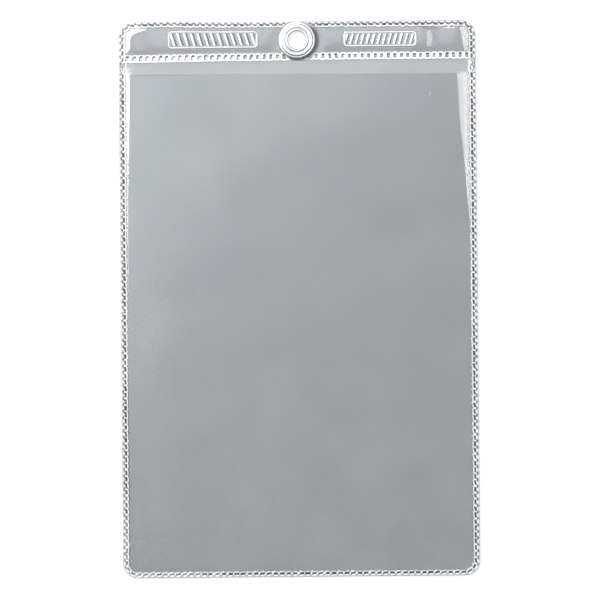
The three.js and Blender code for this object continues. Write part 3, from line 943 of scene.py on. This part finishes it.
def lathe(name, profile, steps=144):
    """A closed profile turned about the grommet's axis. Points closer than a micron are merged."""
    kept = [profile[0]]
    for point in profile[1:]:
        if math.hypot(point[0] - kept[-1][0], point[1] - kept[-1][1]) > 1e-3:
            kept.append(point)
    if math.hypot(kept[0][0] - kept[-1][0], kept[0][1] - kept[-1][1]) <= 1e-3:
        kept.pop()
    ring = np.array(kept)
    turn = np.linspace(0, 2 * np.pi, steps, endpoint=False)
    x = np.outer(np.cos(turn), ring[:, 0])
    y = np.outer(np.sin(turn), ring[:, 0]) + GROMMET_Y
    z = np.broadcast_to(ring[:, 1], x.shape)
    count = len(kept)
    faces = []
    for i in range(steps):
        for j in range(count):
            a, b = i * count + j, i * count + (j + 1) % count
            c, d = ((i + 1) % steps) * count + (j + 1) % count, ((i + 1) % steps) * count + j
            faces.append((a, b, c, d))
    return smooth_piece(name, np.stack([x.ravel(), y.ravel(), z.ravel()], axis=1), faces, 50)


def grommet_profile():
    outside = METAL + BEND
    heel, toe = BARREL_R + BEND, FLANGE_R - outside
    return (
        arc(heel, outside, outside, 270, 180)
        + arc(CURL_C, CURL_SEAT, CURL_R, 180, 0, 20)
        + arc(CURL_C, CURL_SEAT, CURL_IN, 0, 180)
        + arc(heel, outside, BEND, 180, 270)
        + arc(toe, outside, BEND, 270, 360)
        + arc(FLANGE_R - METAL / 2, BACK_FACE - METAL / 2, METAL / 2, 180, 0)
        + arc(toe, outside, outside, 360, 270)
    )


def washer_profile():
    outside = METAL + BEND
    toe = FLANGE_R - outside
    hole = BARREL_R + 0.1
    deep = 0.17
    groove = [
        (FLANGE_R - GROOVE - deep + 2 * deep * t, CROWN - deep * math.sin(math.pi * t) ** 2)
        for t in np.linspace(0, 1, 13)
    ]
    dish = [
        (LAND_END + (CROWN_START - LAND_END) * t, CURL_SEAT + (CROWN - CURL_SEAT) * (3 * t * t - 2 * t**3))
        for t in np.linspace(0, 1, 9)
    ]
    under = [(r, z - METAL) for r, z in reversed(dish)]
    return (
        [(hole, CURL_SEAT - METAL), (hole, CURL_SEAT)]
        + dish
        + groove
        + arc(FLANGE_R - BRIM, CROWN - BRIM, BRIM, 90, 0)
        + arc(FLANGE_R - METAL / 2, FILM_TOP + METAL / 2, METAL / 2, 0, -180)
        + arc(toe, CROWN - outside, BEND, 0, 90)
        + under
    )


# Materials


class Nodes:
    """Short ways to add and join shader nodes."""

    def __init__(self, material):
        material.use_nodes = True
        self.tree = material.node_tree
        self.tree.nodes.clear()

    def new(self, kind, inputs=(), **settings):
        """A node with its settings. Each input is linked to a node's output or set to a plain value."""
        node = self.tree.nodes.new(kind)
        for key, value in settings.items():
            setattr(node, key, value)
        for key, value in dict(inputs).items():
            if hasattr(value, "is_output"):
                self.tree.links.new(value, node.inputs[key])
            else:
                node.inputs[key].default_value = value
        return node

    def surface(self, shader):
        self.new("ShaderNodeOutputMaterial", {"Surface": shader.outputs[0]})

    def math(self, kind, a, b=0.0):
        return self.new("ShaderNodeMath", {0: a, 1: b}, operation=kind).outputs[0]

    def times(self, a, b):
        return self.math("MULTIPLY", a, b)

    def most(self, first, *others):
        """The highest of the values."""
        for other in others:
            first = self.math("MAXIMUM", first, other)
        return first

    def mix(self, factor, a, b):
        return self.new("ShaderNodeMix", {"Factor": factor, 6: a, 7: b}, data_type="RGBA").outputs[2]

    def ramp(self, value, low, high, out_low=0.0, out_high=1.0):
        limits = {0: value, 1: low, 2: high, 3: out_low, 4: out_high}
        return self.new("ShaderNodeMapRange", limits).outputs[0]

    def attribute(self, name):
        return self.new("ShaderNodeAttribute", attribute_name=name).outputs["Fac"]

    def noise(self, scale, detail=2.0, roughness=0.5, stretch=(1, 1, 1)):
        place = self.new("ShaderNodeTexCoord").outputs["Object"]
        squeezed = self.new("ShaderNodeMapping", {"Vector": place, "Scale": stretch}).outputs[0]
        grain = {"Vector": squeezed, "Scale": scale, "Detail": detail, "Roughness": roughness}
        return self.new("ShaderNodeTexNoise", grain).outputs["Fac"]

    def bump(self, height, distance):
        """Faint unevenness of the face, distance high in metres."""
        faint = {"Strength": 0.12, "Distance": distance, "Height": height}
        return self.new("ShaderNodeBump", faint).outputs[0]


# Colours of the vinyl, its painted highlight white and its painted shade, and the metal's painted shade

TINT = (0.08, 0.089, 0.114)
MILK_AND_HIGHLIGHT = (0.95, 0.955, 0.96, 1)
SHADE = (0.05, 0.052, 0.055, 1)
METAL_PAINTED_SHADE = (0.05, 0.055, 0.055, 1)


def film_material(name, alpha, index):
    """Clear vinyl: mostly see-through, faintly grey, with bead painted white, as highlights on the pressed
    rings, bars and ribs and as the milky weld strip, and pit painted dark, as shade in the pits and creases
    and as the washer's shadow.
    alpha is for one face of the film, and light passes two. Its gloss is that of the vinyl, so the index is
    raised to make up for the share that alpha takes of it."""
    material = bpy.data.materials.new(name)
    nodes = Nodes(material)
    bead, pit = nodes.attribute("bead"), nodes.attribute("pit")
    cloud = nodes.noise(34, 3, 0.55)
    grain = nodes.noise(900, 2, 0.5)
    haze = nodes.ramp(cloud, 0.3, 0.7, alpha * 0.93, alpha * 1.07)
    haze = nodes.math("ADD", haze, nodes.ramp(grain, 0.35, 0.65, -0.005, 0.005))
    body = nodes.mix(cloud, [c * 0.96 for c in TINT] + [1], [c * 1.04 for c in TINT] + [1])
    # painted highlight: white where bead is high; painted shade: dark where pit is high, just below
    body = nodes.mix(bead, body, MILK_AND_HIGHLIGHT)
    nodes.surface(nodes.new("ShaderNodeBsdfPrincipled", {
        "Base Color": nodes.mix(nodes.ramp(pit, 0.1, 0.9), body, SHADE),
        "Alpha": nodes.most(haze, nodes.times(bead, 0.95), nodes.times(pit, 0.93)),
        "Roughness": nodes.ramp(cloud, 0.3, 0.7, 0.15, 0.21),
        "IOR": index,
        "Specular IOR Level": nodes.ramp(nodes.most(bead, pit), 0.0, 0.6, 1.0, 0.12),
        "Normal": nodes.bump(nodes.noise(45, 1.5, 0.45, (1, 0.6, 1)), 0.1 * MM),
    }))
    return material


def nickel_material(name, shade):
    """Satin nickel plate with faint turning marks, and painted shade: in the groove inside the washer's rim,
    at the foot of the curl, round the lip of the bore and along the rim, each darkest towards the lower
    right, down the bore, and over the lower half."""
    material = bpy.data.materials.new(name)
    nodes = Nodes(material)
    place = nodes.new("ShaderNodeTexCoord").outputs["Object"]
    way = nodes.new("ShaderNodeSeparateXYZ", {0: place})
    x, z = way.outputs["X"], way.outputs["Z"]
    y = nodes.math("SUBTRACT", way.outputs["Y"], GROMMET_Y * MM)
    far = nodes.math("SQRT", nodes.math("ADD", nodes.times(x, x), nodes.times(y, y)))
    facing = nodes.math("DIVIDE", nodes.times(nodes.math("SUBTRACT", x, y), 0.7), far)

    def ring(radius, half):
        gap = nodes.math("ABSOLUTE", nodes.math("SUBTRACT", far, radius * MM))
        return nodes.ramp(gap, 0.25 * half * MM, half * MM, 1.0, 0.0)

    cloud = nodes.noise(260, 4, 0.6)
    patchy = nodes.ramp(nodes.noise(700, 2, 0.5), 0.35, 0.65, 0.6, 1.0)
    # painted shade in the hollows, heavier on the lower right side, away from the light
    groove = nodes.times(ring(FLANGE_R - GROOVE, 0.26), nodes.ramp(facing, -0.8, 0.7, 0.4, 1.0))
    foot = nodes.times(patchy, nodes.ramp(facing, -0.3, 0.7, 0.62, 1.0))
    foot = nodes.times(ring(CURL_C + CURL_R + 0.08, 0.24), foot)
    lip = nodes.times(patchy, nodes.ramp(facing, -0.3, 0.7, 0.6, 1.0))
    lip = nodes.times(ring(BARREL_R - METAL + 0.05, 0.24), lip)
    wall = (CURL_C - CURL_R) * MM
    bore = nodes.times(nodes.ramp(far, wall, wall + 0.1 * MM, 1, 0), nodes.ramp(z, 1.5 * MM, 2 * MM, 0.5, 0))
    below = nodes.math("DIVIDE", nodes.times(y, -1.0), far)
    rim = nodes.times(ring(FLANGE_R - BRIM, 0.3), nodes.ramp(facing, -0.6, 0.5, 0.15, 0.55))
    # painted shade over the lower half
    lower_shade = nodes.times(nodes.ramp(far, 3.5 * MM, 3.9 * MM), nodes.ramp(below, 0.3, 0.95, 0.04, 0.36))
    painted_shade = nodes.most(groove, foot, lip, bore, rim, lower_shade)
    bright, dull = (shade, shade, shade * 1.005, 1), (shade * 0.92, shade * 0.925, shade * 0.93, 1)
    plate = nodes.mix(nodes.ramp(cloud, 0.35, 0.7), bright, dull)
    shift = nodes.new("ShaderNodeMapping", {"Vector": place, "Location": (0, -GROMMET_Y * MM, 0)})
    turning = {"Vector": shift.outputs[0], "Scale": 900, "Distortion": 0.6}
    marks = nodes.new("ShaderNodeTexWave", turning, wave_type="RINGS", rings_direction="Z")
    nodes.surface(nodes.new("ShaderNodeBsdfPrincipled", {
        "Base Color": nodes.mix(painted_shade, plate, METAL_PAINTED_SHADE),
        "Metallic": 1.0,
        "Roughness": nodes.ramp(cloud, 0.3, 0.7, 0.36, 0.46),
        "Normal": nodes.bump(marks.outputs["Fac"], 0.03 * MM),
    }))
    return material


# The envelope

back = back_film().build("back_film")
pocket = pocket_film().build("pocket_film")
header = header_film().build("header_film")
barrel = lathe("grommet_barrel", grommet_profile())
ring = lathe("grommet_washer", washer_profile())

for piece, node, alpha, index, flat, under in (
    (back, "back_sheet", 0.36, 1.9, (2 * RIGHT, TOP - BOTTOM), ["grommet_barrel"]),
    (pocket, "front_sheet", 0.214, 2.45, (2 * RIGHT, MOUTH - BOTTOM), ["back_film"]),
    (header, "header_strip", 0.188, 2.55, (2 * RIGHT, TOP - HEADER_EDGE), ["back_film"]),
):
    piece.data.materials.append(film_material(piece.name + "_vinyl", alpha, index))
    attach(piece, "root")
    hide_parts(node)

for piece, node, shade in ((barrel, "grommet", 0.86), (ring, "washer", 0.9)):
    piece.data.materials.append(nickel_material(piece.name + "_nickel", shade))
    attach(piece, "root")
    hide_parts(node)

# Stage, light and camera. FLOOR is the floor's half width, and FLOOR_UNDER is how far it lies under the part.

scene = bpy.context.scene
scene.view_settings.view_transform = "Standard"

FLOOR = 4.0
FLOOR_UNDER = 0.2 * MM

sheet = bpy.data.meshes.new("floor")
corners = [(-FLOOR, -FLOOR, 0), (FLOOR, -FLOOR, 0), (FLOOR, FLOOR, 0), (-FLOOR, FLOOR, 0)]
sheet.from_pydata(corners, [], [(0, 1, 2, 3)])
floor = in_scene("floor", sheet)
floor.location.z = -FLOOR_UNDER
paper = bpy.data.materials.new("white_paper")
nodes = Nodes(paper)
rays = nodes.new("ShaderNodeLightPath")
direct = ("Is Camera Ray", "Is Glossy Ray", "Is Transmission Ray")
seen = nodes.most(*[rays.outputs[kind] for kind in direct])
white = nodes.mix(seen, (0.8, 0.8, 0.8, 1), (0.38, 0.38, 0.38, 1))
matte = nodes.new("ShaderNodeBsdfDiffuse", {"Color": white})
lift = nodes.new("ShaderNodeEmission", {"Strength": nodes.times(seen, 0.68)})
nodes.surface(nodes.new("ShaderNodeAddShader", {0: matte.outputs[0], 1: lift.outputs[0]}))
floor.data.materials.append(paper)

world = bpy.data.worlds.new("studio")
scene.world = world
nodes = Nodes(world)
way = nodes.new("ShaderNodeSeparateXYZ", {0: nodes.new("ShaderNodeTexCoord").outputs["Generated"]})
strength = nodes.ramp(way.outputs["Z"], 0.1, 0.85, 0.22, 0.42)
sky = nodes.new("ShaderNodeBackground", {"Color": (0.97, 0.985, 1.0, 1), "Strength": strength})
nodes.new("ShaderNodeOutputWorld", {"Surface": sky.outputs[0]})


def softbox(name, place, aim, width, height, radiance, colour=(1, 1, 1)):
    """A lamp with an even face of width by height, at place and turned to aim."""
    light = bpy.data.lights.new(name, "AREA")
    light.shape = "RECTANGLE"
    light.size, light.size_y = width, height
    light.energy = radiance * math.pi * width * height
    light.color = colour
    lamp = in_scene(name, light)
    lamp.location = place
    lamp.rotation_euler = (Vector(aim) - Vector(place)).to_track_quat("-Z", "Y").to_euler()


softbox("key_left", (-0.85, 0.35, 1.2), (0, 0.35, 0), 0.95, 0.3, 12.5)
softbox("fill_right", (0.62, 0.3, 1.45), (0, 0.3, 0), 0.8, 0.32, 3.4)
softbox("edge_right", (0.85, 0.3, 1.38), (0.055, 0.3, 0), 0.8, 0.2, 5.2)
softbox("corner_left", (-0.52, 0.6, 1.2), (-0.05, 0.08, 0), 0.72, 0.36, 9.0)
softbox("top_left", (-0.34, 0.4, 1.9), (0, 0, 0), 1.0, 0.9, 1.3, (0.86, 0.98, 1.0))
softbox("top_right", (0.36, 0.42, 1.9), (0, 0, 0), 0.5, 0.6, 0.4, (0.9, 0.98, 1.0))
softbox("arc_top", (-0.3, 0.88, 1.2), (-0.05, 0.08, 0), 0.42, 0.44, 8.5)

# The camera looks straight down. VIEW_WIDE is the width of floor in the picture.

ROLL = math.radians(0.52)
CAMERA_HIGH = 1.2
VIEW_WIDE = 0.1923
camera_data = bpy.data.cameras.new("camera")
camera_data.sensor_width = 36
camera_data.lens = camera_data.sensor_width * CAMERA_HIGH / VIEW_WIDE
camera_data.clip_start, camera_data.clip_end = 0.01, 50
camera = in_scene("camera", camera_data)
camera.location = (0.24 * MM, -0.3 * MM, CAMERA_HIGH)
camera.rotation_euler = (0, 0, -ROLL)
scene.camera = camera
